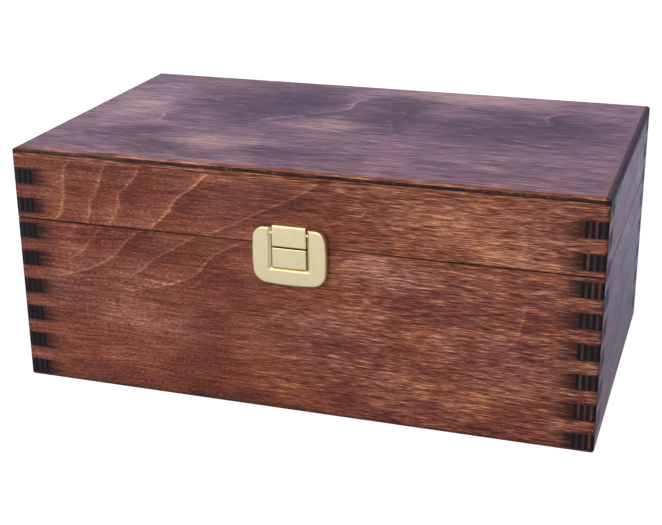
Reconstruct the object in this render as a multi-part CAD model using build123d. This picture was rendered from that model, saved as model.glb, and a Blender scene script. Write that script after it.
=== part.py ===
from build123d import *
import os

# Compass box: a stained plywood case whose lid was sawn off the finished box, with a brass
# flap latch on the front and two small butt hinges on the back.
# Millimetres. +X right, +Y to the back, +Z up. The origin is the middle of the footprint.

# Plywood case and lid
BOX_WIDTH = 255.0
BOX_DEPTH = 152.0
CASE_HEIGHT = 75.4
LID_FRAME_HEIGHT = 27.3
TOP_THICKNESS = 4.0
WALL = 9.0
SEAM_GAP = 0.3
SAW_KERF = 1.9
CORNER_RADIUS = 1.5
TOP_ROUND = 2.2
FOOT_ROUND = 0.8
SEAM_CHAMFER = 0.25

# Finger joints, laid out on the box before the lid was sawn off
FINGER = 6.55
FIRST_FINGER = 1.3
LEAST_FINGER = 0.8

# Bottom panel, let into a groove that stops short of the outer corners
BOTTOM_THICKNESS = 4.0
BOTTOM_RAISED = 4.0
GROOVE_DEPTH = 4.0
GROOVE_CLEARANCE = 0.05

# Butt hinges
HINGE_FROM_END = 52.0
LEAF_LENGTH = 26.0
LEAF_REACH = 10.0
LEAF_THICKNESS = 0.9
LEAF_CORNER = 1.5
HINGE_PIN_RADIUS = 0.95
KNUCKLE_WALL = 0.95
LID_KNUCKLE = 10.4
KNUCKLE_GAP = 0.2
LEAF_CUT_BACK = 0.3
HINGE_SCREW_FROM_END = 4.5
HINGE_SCREW_FROM_EDGE = 3.6

# Latch
LATCH_PROUD = 3.9
PLATE_THICKNESS = 0.9
PLATE_CORNER = 1.2
KEEPER_FOOT_CORNER = 4.0
PLATE_INSIDE_SIDE = 1.5
PLATE_INSIDE_FOOT = 1.85
FLAP_BACK_GAP = 0.3
FLAP_HALF_WIDTH = 16.1
FLAP_SIDE_BOW = 0.7
FLAP_DROP = 16.45
FLAP_FOOT_BOW = 1.05
FLAP_FOOT_CORNER = 6.3
FLAP_HEAD_CORNER = 5.0
FLAP_EDGE_ROUND = 1.0
FLAP_SKIN = 1.1
FLAP_PIN_RADIUS = 0.65
FLAP_PIN_ABOVE_SEAM = 5.9
FLAP_PIN_BEHIND_FACE = 1.15
FLAP_PIN_IN_ARM = 5.0
FLAP_HEAD_CLEARANCE = 0.2
WINDOW_HALF_WIDTH = 7.85
WINDOW_DROP = 9.25
WINDOW_BEVEL_DEPTH = 1.0
WINDOW_BEVEL_SIDE = 1.2
WINDOW_BEVEL_FOOT = 0.8
TILE_SIDE_GAP = 0.4
TILE_FOOT_GAP = 0.35
TILE_SET_BACK = 0.25
TILE_SKIN = 0.9
TILE_EDGE_ROUND = 0.6
TILE_HEAD_ROUND = 1.3
TILE_SPLIT = 0.6
HASP_ABOVE_PIN = 3.5
LATCH_SCREW_FROM_SIDE = 3.0
KEEPER_SCREW_DROP = 5.6

# Small countersunk wood screws: thread radius, head radius and head depth
HINGE_SCREW = (1.0, 1.9, 0.8)
LATCH_SCREW = (0.8, 1.3, 0.6)
SCREW_DOME = 0.25
SCREW_STANDS_BACK = 1.8
RECESS_SPAN = 1.1  # of the head's radius
RECESS_WIDTH = 0.5
RECESS_DEPTH = 0.45

# Clearances, all on the radius
RUNNING_CLEARANCE = 0.05
FIXED_CLEARANCE = 0.02

# Lines that several pieces share
SIDE = BOX_WIDTH / 2
FRONT = -BOX_DEPTH / 2
BACK = BOX_DEPTH / 2
SEAM = CASE_HEIGHT + SEAM_GAP / 2
LID_RIM = CASE_HEIGHT + SEAM_GAP
LID_FRAME_TOP = LID_RIM + LID_FRAME_HEIGHT
BOX_HEIGHT = LID_FRAME_TOP + TOP_THICKNESS
KNUCKLE_RADIUS = HINGE_PIN_RADIUS + RUNNING_CLEARANCE + KNUCKLE_WALL
HINGE_AXIS_Y = BACK + KNUCKLE_RADIUS
PLATE_REACH = FLAP_HALF_WIDTH - PLATE_INSIDE_SIDE
LATCH_SCREW_OUT = PLATE_REACH - LATCH_SCREW_FROM_SIDE
TILE_HALF_WIDTH = WINDOW_HALF_WIDTH - TILE_SIDE_GAP
TILE_PROUD = LATCH_PROUD - TILE_SET_BACK
FLAP_PIN_OUT = LATCH_PROUD - FLAP_PIN_BEHIND_FACE
FLAP_PIN_Z = SEAM + FLAP_PIN_ABOVE_SEAM
FLAP_HEAD_RADIUS = FLAP_PIN_OUT - FLAP_HEAD_CLEARANCE
FLAP_HEAD_TOP = FLAP_PIN_Z + FLAP_HEAD_RADIUS
FLAP_BOSS_FOOT = FLAP_PIN_Z - FLAP_HEAD_RADIUS
PAST = 1.0  # how far a cutter runs past the surface that it opens


def block(x_span, y_span, z_span):
    spans = (x_span, y_span, z_span)
    middle = [(low + high) / 2 for low, high in spans]
    return Pos(*middle) * Box(*[high - low for low, high in spans])


def rod_along_x(radius, x_span, y, z):
    return Pos(sum(x_span) / 2, y, z) * Rot(0, 90, 0) * Cylinder(radius, x_span[1] - x_span[0])


def out_of_front(v):
    """The Y of a point v millimetres in front of the case's front face."""
    return FRONT - v


def latch_plane(v):
    """A sketch plane v millimetres in front of the front face, in X and Z, facing outwards."""
    return Plane(origin=(0, out_of_front(v), 0), x_dir=(1, 0, 0), z_dir=(0, -1, 0))


# Finger joints and walls


def finger_bands(low, high, shift):
    """The side walls' fingers between two levels of the uncut box, as (bottom, top) heights."""
    bands = []
    start = FIRST_FINGER
    while start < high:
        bottom, top = max(start, low), min(start + FINGER, high)
        if top - bottom >= LEAST_FINGER:
            bands.append((bottom - shift, top - shift))
        start += 2 * FINGER
    return bands


def corner_fingers(bands, x_sign, y_sign):
    """One corner's side-wall fingers, as square blocks a wall wide that run past the outside."""
    x_span = sorted((x_sign * (SIDE - WALL), x_sign * (SIDE + PAST)))
    y_span = sorted((y_sign * (BACK - WALL), y_sign * (BACK + PAST)))
    return [block(x_span, y_span, band) for band in bands]


def ring_of_walls(envelope, bands, z_span):
    """Front, back, left and right walls of one frame, finger-jointed, cut to the envelope."""
    walls = {}
    for name, y_sign in (("front", -1), ("back", 1)):
        y_span = sorted((y_sign * (BACK - WALL), y_sign * (BACK + PAST)))
        wall = block((-SIDE - PAST, SIDE + PAST), y_span, z_span)
        for x_sign in (-1, 1):
            for finger in corner_fingers(bands, x_sign, y_sign):
                wall -= finger
        walls[name] = wall & envelope
    for name, x_sign in (("left", -1), ("right", 1)):
        x_span = sorted((x_sign * (SIDE - WALL), x_sign * (SIDE + PAST)))
        wall = block(x_span, (FRONT + WALL, BACK - WALL), z_span)
        for y_sign in (-1, 1):
            for finger in corner_fingers(bands, x_sign, y_sign):
                wall += finger
        walls[name] = wall & envelope
    return walls


def outer_form(z_span):
    """The box's outside between two heights, with its upright corners rounded."""
    form = block((-SIDE, SIDE), (FRONT, BACK), z_span)
    return fillet(form.edges().filter_by(Axis.Z), CORNER_RADIUS)


def case_envelope():
    form = outer_form((0, CASE_HEIGHT))
    form = fillet(form.faces().sort_by(Axis.Z)[0].edges(), FOOT_ROUND)
    return chamfer(form.faces().sort_by(Axis.Z)[-1].edges(), SEAM_CHAMFER)


def lid_envelope():
    form = outer_form((LID_RIM, LID_FRAME_TOP))
    return chamfer(form.faces().sort_by(Axis.Z)[0].edges(), SEAM_CHAMFER)


def case_walls():
    walls = ring_of_walls(
        case_envelope(), finger_bands(0, CASE_HEIGHT, 0), (0, CASE_HEIGHT)
    )
    pocket = bottom_form(GROOVE_DEPTH, GROOVE_CLEARANCE)
    return {name: wall - pocket for name, wall in walls.items()}


def lid_walls():
    sawn_from = CASE_HEIGHT + SAW_KERF
    bands = finger_bands(
        sawn_from, sawn_from + LID_FRAME_HEIGHT, SAW_KERF - SEAM_GAP
    )
    return ring_of_walls(lid_envelope(), bands, (LID_RIM, LID_FRAME_TOP))


def bottom_form(reach, clearance):
    """The bottom panel, reaching into the walls, or its groove when it is given a clearance."""
    x_edge = SIDE - WALL + reach
    y_edge = BACK - WALL + reach
    low, high = BOTTOM_RAISED - clearance, BOTTOM_RAISED + BOTTOM_THICKNESS + clearance
    return block((-x_edge, x_edge), (-y_edge, y_edge), (low, high))


def top_panel():
    """The top, its upper edges rounded so that they meet in mitres at the corners."""
    z_span = (LID_FRAME_TOP, BOX_HEIGHT)
    panel = outer_form(z_span)
    for axis in (Axis.X, Axis.Y):
        form = block((-SIDE, SIDE), (FRONT, BACK), z_span)
        edges = form.faces().sort_by(Axis.Z)[-1].edges().filter_by(axis)
        panel &= fillet(edges, TOP_ROUND)
    return panel


# Screws


def screw(size, depth_in_wood, plate):
    """A countersunk wood screw along -Z, with its head's rim level with z = 0."""
    thread, head, head_depth = size
    length = plate + depth_in_wood
    crown, rim = (0, SCREW_DOME), (head, 0)
    dome = TangentArc(crown, rim, tangent=(1, 0))
    shank = Polyline(rim, (thread, -head_depth), (thread, thread - length), (0, -length), crown)
    form = revolve(Plane.XZ * make_face([dome, shank]), Axis.Z)
    for turn in (0, 90):
        recess = Box(RECESS_SPAN * head, RECESS_WIDTH, 2 * RECESS_DEPTH)
        form -= Pos(0, 0, SCREW_DOME) * Rot(0, 0, turn) * recess
    return form


def screw_hole(size, depth_in_wood, plate, clearance):
    """The room that such a screw takes in its plate and in the wood behind it."""
    thread, head, head_depth = size
    side = Polyline(
        (0, PAST),
        (head + clearance, PAST),
        (head + clearance, 0),
        (thread + clearance, -head_depth),
        (thread + clearance, thread - plate - depth_in_wood),
        (0, -plate - depth_in_wood - clearance),
        close=True,
    )
    return revolve(Plane.XZ * make_face(side), Axis.Z)


def screw_set(places, size, facing, surface, plate):
    """Screws and their holes at (x, z) places on the front (facing -1) or back (facing 1)."""
    bite = WALL - SCREW_STANDS_BACK
    turned = Rot(-90 * facing, 0, 0)
    spots = [Pos(x, surface + facing * plate, z) * turned for x, z in places]
    screws = [spot * screw(size, bite, plate) for spot in spots]
    holes = [spot * screw_hole(size, bite, plate, FIXED_CLEARANCE) for spot in spots]
    return screws, holes


def without(shape, cutters):
    for cutter in cutters:
        shape -= cutter
    return shape


# Hinges


def knuckle_spans(centre):
    """X spans of the case leaf's two outer knuckles, and of the lid leaf's middle one."""
    half, middle = LEAF_LENGTH / 2, LID_KNUCKLE / 2
    outer = [
        (centre - half, centre - middle - KNUCKLE_GAP),
        (centre + middle + KNUCKLE_GAP, centre + half),
    ]
    return outer, [(centre - middle, centre + middle)]


def hinge_leaf(centre, z_sign, spans, bore):
    """A flat leaf on the back face, above (1) or below (-1) the seam, rolled round the pin."""
    half = LEAF_LENGTH / 2
    y_span = (BACK, BACK + LEAF_THICKNESS)
    edge = SEAM + z_sign * (KNUCKLE_RADIUS + LEAF_CUT_BACK)
    far = SEAM + z_sign * LEAF_REACH
    leaf = block((centre - half, centre + half), y_span, sorted((edge, far)))
    corners = leaf.edges().filter_by(Axis.Y).group_by(Axis.Z)[-1 if z_sign > 0 else 0]
    leaf = fillet(corners, LEAF_CORNER)
    for span in spans:
        leaf += block(span, y_span, sorted((SEAM, edge)))
        leaf += rod_along_x(KNUCKLE_RADIUS, span, HINGE_AXIS_Y, SEAM)
    for span in spans:
        through = (span[0] - PAST, span[1] + PAST)
        leaf -= rod_along_x(bore, through, HINGE_AXIS_Y, SEAM)
    return leaf


def hinge(centre):
    """One hinge as named pieces, and the screw holes that it needs in each back wall."""
    case_spans, lid_spans = knuckle_spans(centre)
    fixed_bore = HINGE_PIN_RADIUS + FIXED_CLEARANCE
    running_bore = HINGE_PIN_RADIUS + RUNNING_CLEARANCE
    pieces, holes = {}, {}
    sides = (("case", -1, case_spans, fixed_bore), ("lid", 1, lid_spans, running_bore))
    for owner, z_sign, spans, bore in sides:
        z = SEAM + z_sign * (LEAF_REACH - HINGE_SCREW_FROM_EDGE)
        screw_out = LEAF_LENGTH / 2 - HINGE_SCREW_FROM_END
        places = [(centre + s * screw_out, z) for s in (-1, 1)]
        screws, cuts = screw_set(places, HINGE_SCREW, 1, BACK, LEAF_THICKNESS)
        pieces[owner + "_leaf"] = without(hinge_leaf(centre, z_sign, spans, bore), cuts)
        pieces[owner + "_leaf_screws"] = Compound(screws)
        holes[owner] = cuts
    half = LEAF_LENGTH / 2
    pin = rod_along_x(HINGE_PIN_RADIUS, (centre - half, centre + half), HINGE_AXIS_Y, SEAM)
    pieces["pin"] = pin
    return pieces, holes


# Latch


def base_plate(z_span, foot_corner):
    """A flat base plate against the wood, with rounded corners."""
    y_span = (out_of_front(PLATE_THICKNESS), FRONT)
    plate = block((-PLATE_REACH, PLATE_REACH), y_span, z_span)
    for row, radius in ((0, foot_corner), (-1, PLATE_CORNER)):
        plate = fillet(plate.edges().filter_by(Axis.Y).group_by(Axis.Z)[row], radius)
    return plate


def tile(z_span, head_round):
    """A box-shaped tile pressed out of its base plate: outside, and the hollow behind it."""
    x_span = (-TILE_HALF_WIDTH, TILE_HALF_WIDTH)
    outside = block(x_span, (out_of_front(TILE_PROUD), FRONT), z_span)
    head = outside.faces().sort_by(Axis.Y)[0].edges().sort_by(Axis.Z)[-1]
    outside = fillet(head, head_round)
    edges = outside.faces().sort_by(Axis.Y)[0].edges().sort_by(Axis.Z)
    outside = fillet(edges[:-1], TILE_EDGE_ROUND)
    hollow = block(
        (x_span[0] + TILE_SKIN, x_span[1] - TILE_SKIN),
        (out_of_front(TILE_PROUD - TILE_SKIN), FRONT + PAST),
        (z_span[0] + TILE_SKIN, z_span[1] - TILE_SKIN),
    )
    return outside, hollow


def keeper():
    """The case's half of the latch: a plate with the lower tile that the flap closes round."""
    z_span = (SEAM - FLAP_DROP + PLATE_INSIDE_FOOT, CASE_HEIGHT - SEAM_CHAMFER)
    plate = base_plate(z_span, KEEPER_FOOT_CORNER)
    z_span = (SEAM - WINDOW_DROP + TILE_FOOT_GAP, SEAM - TILE_SPLIT / 2)
    outside, hollow = tile(z_span, TILE_EDGE_ROUND)
    places = [(s * LATCH_SCREW_OUT, SEAM - KEEPER_SCREW_DROP) for s in (-1, 1)]
    screws, holes = screw_set(places, LATCH_SCREW, -1, FRONT, PLATE_THICKNESS)
    return without(plate + outside - hollow, holes), Compound(screws), holes


def hasp():
    """The lid's half of the latch: a plate with the upper tile that carries the flap's pin."""
    low = SEAM + TILE_SPLIT / 2
    ears = base_plate((low, FLAP_BOSS_FOOT), PLATE_CORNER)
    outside, hollow = tile((low, FLAP_PIN_Z + HASP_ABOVE_PIN), TILE_HEAD_ROUND)
    places = [(s * LATCH_SCREW_OUT, (low + FLAP_BOSS_FOOT) / 2) for s in (-1, 1)]
    screws, holes = screw_set(places, LATCH_SCREW, -1, FRONT, PLATE_THICKNESS)
    body = without(ears + outside - hollow, holes)
    return body - flap_pin(FIXED_CLEARANCE), Compound(screws), holes


def flap_pin(clearance):
    reach = WINDOW_HALF_WIDTH + FLAP_PIN_IN_ARM + clearance
    y = out_of_front(FLAP_PIN_OUT)
    return rod_along_x(FLAP_PIN_RADIUS + clearance, (-reach, reach), y, FLAP_PIN_Z)


def flap_outline(inset):
    """The flap's outline in X and Z, or one inside it: bowed sides and foot, rounded corners."""
    foot = SEAM - FLAP_DROP + inset
    head = FLAP_HEAD_TOP - inset
    side = FLAP_HALF_WIDTH - inset
    edge = side - FLAP_SIDE_BOW
    corner = foot + FLAP_FOOT_BOW
    middle = (head + foot) / 2
    top = Line((edge, head), (-edge, head))
    left = ThreePointArc((-edge, head), (-side, middle), (-edge, corner))
    base = ThreePointArc((-edge, corner), (0, foot), (edge, corner))
    right = ThreePointArc((edge, corner), (side, middle), (edge, head))
    face = make_face([top, left, base, right])
    face = fillet(face.vertices().group_by(Axis.Y)[0], FLAP_FOOT_CORNER - inset)
    return fillet(face.vertices().group_by(Axis.Y)[-1], FLAP_HEAD_CORNER - inset)


def flap_window():
    """The slot for both tiles, open at the flap's head, with a bevel round its front edge."""
    above = FLAP_HEAD_TOP + PAST
    foot = SEAM - WINDOW_DROP
    slot = block(
        (-WINDOW_HALF_WIDTH, WINDOW_HALF_WIDTH),
        (out_of_front(LATCH_PROUD + PAST), FRONT),
        (foot, above),
    )
    rings = []
    for step in (0, 1):
        v = LATCH_PROUD + (step - 1) * WINDOW_BEVEL_DEPTH
        half = WINDOW_HALF_WIDTH + step * WINDOW_BEVEL_SIDE
        low = foot - step * WINDOW_BEVEL_FOOT
        ring = Pos(0, (low + above) / 2) * Rectangle(2 * half, above - low)
        rings.append(latch_plane(v) * ring)
    return slot + loft(rings, ruled=True)


def flap_pocket(back):
    """The hollow behind the flap's front skin, one skin inside its outline and its window."""
    ring = flap_outline(FLAP_SKIN)
    inner = WINDOW_HALF_WIDTH + FLAP_SKIN
    floor = SEAM - WINDOW_DROP - FLAP_SKIN
    ring -= Pos(0, (floor + FLAP_HEAD_TOP) / 2) * Rectangle(2 * inner, FLAP_HEAD_TOP - floor)
    depth = LATCH_PROUD - FLAP_SKIN - back
    pocket = extrude(latch_plane(back) * ring, depth)
    y_span = (out_of_front(LATCH_PROUD), FRONT)
    boss = block((-SIDE, SIDE), y_span, (FLAP_BOSS_FOOT, FLAP_HEAD_TOP + PAST))
    behind_bevel = out_of_front(LATCH_PROUD - WINDOW_BEVEL_DEPTH - FLAP_SKIN)
    rim_half = WINDOW_HALF_WIDTH + WINDOW_BEVEL_SIDE + FLAP_SKIN
    rim_foot = SEAM - WINDOW_DROP - WINDOW_BEVEL_FOOT - FLAP_SKIN
    y_span = (out_of_front(LATCH_PROUD), behind_bevel)
    return pocket - boss - block((-rim_half, rim_half), y_span, (rim_foot, FLAP_HEAD_TOP))


def flap():
    """The hinged frame that is pulled forward to free the lid."""
    back = PLATE_THICKNESS + FLAP_BACK_GAP
    blank = extrude(latch_plane(back) * flap_outline(0), LATCH_PROUD - back)
    front_face = blank.faces().sort_by(Axis.Y)[0]
    blank = fillet(front_face.edges(), FLAP_EDGE_ROUND)
    y = out_of_front(FLAP_PIN_OUT)
    x_span = (-SIDE, SIDE)
    below = block(x_span, (FRONT - 2 * LATCH_PROUD, FRONT), (0, FLAP_PIN_Z))
    turning = below + rod_along_x(FLAP_HEAD_RADIUS, x_span, y, FLAP_PIN_Z)
    body = blank & turning
    return body - flap_window() - flap_pocket(back) - flap_pin(RUNNING_CLEARANCE)


# The whole box


def build():
    nodes = {}
    case, lid = case_walls(), lid_walls()
    keeper_plate, keeper_screws, keeper_holes = keeper()
    hasp_plate, hasp_screws, hasp_holes = hasp()
    case["front"] = without(case["front"], keeper_holes)
    lid["front"] = without(lid["front"], hasp_holes)
    for side, x_sign in (("left", -1), ("right", 1)):
        pieces, holes = hinge(x_sign * (SIDE - HINGE_FROM_END))
        case["back"] = without(case["back"], holes["case"])
        lid["back"] = without(lid["back"], holes["lid"])
        for name, piece in pieces.items():
            nodes[f"hinge_{side}_{name}"] = piece
    for name, wall in case.items():
        nodes[f"case_{name}_wall"] = wall
    for name, wall in lid.items():
        nodes[f"lid_{name}_wall"] = wall
    nodes["case_bottom_panel"] = bottom_form(GROOVE_DEPTH - GROOVE_CLEARANCE, 0)
    nodes["lid_top_panel"] = top_panel()
    nodes["latch_keeper_plate"] = keeper_plate
    nodes["latch_keeper_screws"] = keeper_screws
    nodes["latch_hasp_plate"] = hasp_plate
    nodes["latch_hasp_screws"] = hasp_screws
    nodes["latch_flap_pin"] = flap_pin(0)
    nodes["latch_flap"] = flap()
    return nodes


os.makedirs("parts", exist_ok=True)
for node_name, shape in build().items():
    export_step(shape, f"parts/{node_name}.step")
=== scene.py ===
"""Looks, light and camera for the compass box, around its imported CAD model.

Lengths in the wood's materials are millimetres, because grain and plies are easier to read so.
Everything else is in metres, in the CAD frame: +X to the right, +Y to the back, +Z up.
"""

import math
from collections import namedtuple

import bpy
from mathutils import Matrix, Vector

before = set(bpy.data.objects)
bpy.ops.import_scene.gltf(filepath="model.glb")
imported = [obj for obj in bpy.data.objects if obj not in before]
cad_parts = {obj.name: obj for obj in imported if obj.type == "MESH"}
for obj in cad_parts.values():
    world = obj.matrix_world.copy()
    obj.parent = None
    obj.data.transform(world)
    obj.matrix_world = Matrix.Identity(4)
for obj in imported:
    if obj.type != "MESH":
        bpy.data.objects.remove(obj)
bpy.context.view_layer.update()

# The box, in millimetres, as the CAD has it
HALF_WIDTH = 127.5
HALF_DEPTH = 76.0
WALL = 9.0
WALL_PLIES = 7
TOP_HEIGHT = 107.0
TOP_THICKNESS = 4.0
BOTTOM_HEIGHT = 4.0
FINGER_PITCH = 13.1
CASE_FIRST_FINGER = 1.3
LID_FIRST_FINGER = 78.3
SEAM = 75.55

# The photograph's camera
CAMERA_PLACE = Vector((0.17573, -0.55971, 0.26312))
CAMERA_AIM = Vector((-0.00794, 0.0, 0.03977))
CAMERA_ROLL = math.radians(-0.441)
CAMERA_LENS = 72.57
SENSOR_WIDTH = 36.0
NEAREST_SEEN = 0.01

TO_MILLIMETRES = (1000.0, 1000.0, 1000.0)


# Node trees


class Tree:
    """Adds nodes to a node tree. A value is a number, a tuple or another node's output."""

    def __init__(self, tree):
        self.tree = tree

    def feed(self, socket, value):
        if isinstance(value, bpy.types.NodeSocket):
            self.tree.links.new(value, socket)
        elif socket.type == "RGBA":
            socket.default_value = (*value, 1.0)
        else:
            socket.default_value = value

    def node(self, kind, inputs=None, **settings):
        made = self.tree.nodes.new(kind)
        for name, value in settings.items():
            setattr(made, name, value)
        for key, value in (inputs or {}).items():
            self.feed(made.inputs[key], value)
        return made

    def math(self, operation, *values):
        made = self.node("ShaderNodeMath", operation=operation)
        for socket, value in zip(made.inputs, values):
            self.feed(socket, value)
        return made.outputs[0]

    def add(self, first, *others):
        for other in others:
            first = self.math("ADD", first, other)
        return first

    def times(self, first, *others):
        for other in others:
            first = self.math("MULTIPLY", first, other)
        return first

    def rest_of(self, share):
        return self.math("SUBTRACT", 1.0, share)

    def size_of(self, value):
        return self.math("ABSOLUTE", value)

    def largest(self, first, *others):
        for other in others:
            first = self.math("MAXIMUM", first, other)
        return first

    def smaller(self, first, second):
        return self.math("MINIMUM", first, second)

    def swing(self, value, width):
        """A value from 0 to 1, moved to lie on both sides of 0 and scaled to the width."""
        return self.times(self.math("SUBTRACT", value, 0.5), width)

    def vector(self, x, y, z):
        return self.node("ShaderNodeCombineXYZ", {"X": x, "Y": y, "Z": z}).outputs[0]

    def vector_math(self, operation, first, second):
        made = self.node("ShaderNodeVectorMath", {0: first, 1: second}, operation=operation)
        return made.outputs[0]

    def split(self, value):
        made = self.node("ShaderNodeSeparateXYZ", {0: value})
        return made.outputs[0], made.outputs[1], made.outputs[2]

    def noise(self, place, scale=1.0, detail=2.0, roughness=0.5):
        inputs = {"Vector": place, "Scale": scale, "Detail": detail, "Roughness": roughness}
        return self.node("ShaderNodeTexNoise", inputs).outputs["Fac"]

    def span(self, value, low, high, to_low=0.0, to_high=1.0, smooth=True):
        """The value carried from low..high to to_low..to_high, and held at those ends."""
        inputs = {
            "Value": value,
            "From Min": low,
            "From Max": high,
            "To Min": to_low,
            "To Max": to_high,
        }
        kind = "SMOOTHSTEP" if smooth else "LINEAR"
        return self.node("ShaderNodeMapRange", inputs, interpolation_type=kind).outputs[0]

    def mix(self, share, first, second):
        made = self.node("ShaderNodeMix", data_type="FLOAT")
        self.feed(made.inputs[0], share)
        self.feed(made.inputs[2], first)
        self.feed(made.inputs[3], second)
        return made.outputs[0]

    def mix_colour(self, share, first, second, blend="MIX"):
        made = self.node("ShaderNodeMix", data_type="RGBA", blend_type=blend)
        self.feed(made.inputs[0], share)
        self.feed(made.inputs[6], first)
        self.feed(made.inputs[7], second)
        return made.outputs[2]

    def ramp(self, value, stops):
        made = self.node("ShaderNodeValToRGB", {"Fac": value})
        elements = made.color_ramp.elements
        while len(elements) < len(stops):
            elements.new(0.5)
        for element, (place, colour) in zip(elements, stops):
            element.position = place
            element.color = (*colour, 1.0)
        return made.outputs[0]

    def curve(self, value, points):
        """A smooth curve through points whose x and y both lie between 0 and 1."""
        made = self.node("ShaderNodeFloatCurve", {"Value": value})
        line = made.mapping.curves[0]
        while len(line.points) < len(points):
            line.points.new(0.5, 0.5)
        for spot, place in zip(line.points, points):
            spot.location = place
        made.mapping.update()
        return made.outputs[0]

    def bump(self, height, strength, distance):
        inputs = {"Strength": strength, "Distance": distance, "Height": height}
        return self.node("ShaderNodeBump", inputs).outputs[0]

    def use(self, group, inputs):
        made = self.node("ShaderNodeGroup", node_tree=group)
        for key, value in inputs.items():
            self.feed(made.inputs[key], value)
        return made.outputs


def new_group(name, inputs, outputs):
    """A node group and its input sockets; inputs and outputs map a name to a socket kind."""
    group = bpy.data.node_groups.new(name, "ShaderNodeTree")
    for label, kind in inputs.items():
        group.interface.new_socket(label, in_out="INPUT", socket_type="NodeSocket" + kind)
    for label, kind in outputs.items():
        group.interface.new_socket(label, in_out="OUTPUT", socket_type="NodeSocket" + kind)
    tree = Tree(group)
    return group, tree, tree.node("NodeGroupInput").outputs


def new_material(name):
    """A material with its node tree and its Principled shader."""
    material = bpy.data.materials.new(name)
    material.use_nodes = True
    return material, Tree(material.node_tree), material.node_tree.nodes["Principled BSDF"]


def linear(red, green, blue):
    """A colour given as 0 to 255 sRGB, as the linear values that shaders take."""

    def one(value):
        share = value / 255.0
        return share / 12.92 if share <= 0.04045 else ((share + 0.055) / 1.055) ** 2.4

    return one(red), one(green), one(blue)


# Wood: its tones

WOOD_TONES = [
    (0.0, linear(56, 17, 10)),
    (0.25, linear(88, 36, 22)),
    (0.5, linear(118, 61, 42)),
    (0.75, linear(152, 93, 68)),
    (1.0, linear(202, 141, 103)),
]
END_TONES = [(0.3, linear(9, 4, 11)), (0.7, linear(18, 12, 20))]
MEAN_TONE = 0.48
CLOUD_CONTRAST = 0.7

# How a cooler tint changes red, green and blue, and what it is made of
COOL_TINT = (-0.1, 0.3, 1.0)
FINE_TINT_WIDTH = 0.5
SLOW_TINT_WIDTH = 1.3
TINT_OF_CLOUDS = -0.4
TINT_OF_FIGURE = 0.15
# A bluish painted sheen, a painted reflection, adds blue and this share of green to the colour
GREEN_OF_PAINTED_SHEEN = 0.25

# Wood: its grain. A layer is noise, squeezed along the grain and moved across it in millimetres.
Layer = namedtuple("Layer", "squeeze shift scale detail roughness")
STREAKS = Layer(0.05, 0.0, 1.0, 3.0, 0.62)
FLECKS = Layer(0.32, 0.0, 1.9, 2.0, 0.6)
THREADS = Layer(0.055, 50.0, 2.9, 3.0, 0.7)
CLOUDS = Layer(0.35, 0.0, 0.08, 3.0, 0.6)
BLUSHES = Layer(0.4, 300.0, 0.04, 2.0, 0.5)
FINE_TINTS = Layer(0.15, 500.0, 0.8, 2.0, 0.5)
PITS = Layer(0.5, 0.0, 2.2, 2.0, 0.5)
PIT_DEPTH_SQUEEZE = 2.0

# The grain's slow wander across the board
WANDER_SQUEEZE = (0.02, 0.04)
WANDER_WIDTH = 6.0

# Plies. The depth stays a little inside both faces, so that a face is wholly in its outer ply.
# The glue's stain reaches over a share of a ply, and a whole number keeps the plies' count
# above 0, as another does for the finger pitches.
INSIDE_FACE = 0.03
GRAIN_STEP_PER_PLY = 23.7
ABOVE_ANY_NEGATIVE_PLY = 10.0
END_BLEND = 0.2
GLUE_TO_BARE = (0.03, 0.26)
BARE_CLOUDS = (0.4, 0.62)
LEAST_BARE = 0.12
RED_LOST_IN_SHADE = -0.9

# Varnish: its roughness from dark tones to light ones, and its relief as strength and metres
DARK_TO_LIGHT = (0.0, 0.8)
ROUGHNESS_DARK_TO_LIGHT = (0.45, 0.24)
DULL_ENDS = (0.15, 0.6)
DULL_SHADE = 0.4
RELIEF = (0.35, 0.00012)
SPECULAR = 0.3

# A growth ring's edge: the reach of its tone in millimetres past the edge, and the tone there
RING_REACH = (-6.0, 18.0)
RING_TONES = [
    (0.0, 0.5),
    (0.13, 0.52),
    (0.205, 0.57),
    (0.24, 0.73),
    (0.268, 0.68),
    (0.3, 0.42),
    (0.42, 0.4),
    (0.7, 0.47),
    (1.0, 0.5),
]

PLYWOOD_INPUTS = [
    "Along",
    "Across",
    "Depth",
    "Thickness",
    "First Ply",
    "Core Plies",
    "Core Ply",
    "Face Along",
    "Face Across",
    "End From",
    "Figure",
    "Shade",
    "Soak",
    "Contrast",
    "Length",
    "Streak",
    "Tint",
    "Haze",
    "Rubbed",
    "End Dull",
]


def ring_edge_group():
    """What a growth ring's edge adds to the tone, by the distance past it in millimetres."""
    group, tree, given = new_group("grain_edge", {"Distance": "Float"}, {"Tone": "Float"})
    reach = tree.span(given["Distance"], *RING_REACH, smooth=False)
    tone = tree.math("SUBTRACT", tree.curve(reach, RING_TONES), 0.5)
    tree.node("NodeGroupOutput", {0: tone})
    return group


def patch_group():
    """1 at a patch's centre, falling smoothly to 0 at its rim."""
    inputs = {"Along": "Float", "Across": "Float", "Centre": "Vector", "Size": "Vector"}
    group, tree, given = new_group("patch", inputs, {"Share": "Float"})
    place = tree.vector(given["Along"], given["Across"], 0.0)
    away = tree.vector_math("SUBTRACT", place, given["Centre"])
    scaled = tree.vector_math("DIVIDE", away, given["Size"])
    reach = tree.node("ShaderNodeVectorMath", {0: scaled}, operation="LENGTH").outputs["Value"]
    tree.node("NodeGroupOutput", {0: tree.span(reach, 0.0, 1.0, 1.0, 0.0)})
    return group


def layer_noise(tree, place, layer):
    along, across, depth = place
    if layer.shift:
        across = tree.add(across, layer.shift)
    squeezed = tree.vector(tree.times(along, layer.squeeze), across, depth)
    return tree.noise(squeezed, layer.scale, layer.detail, layer.roughness)


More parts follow.
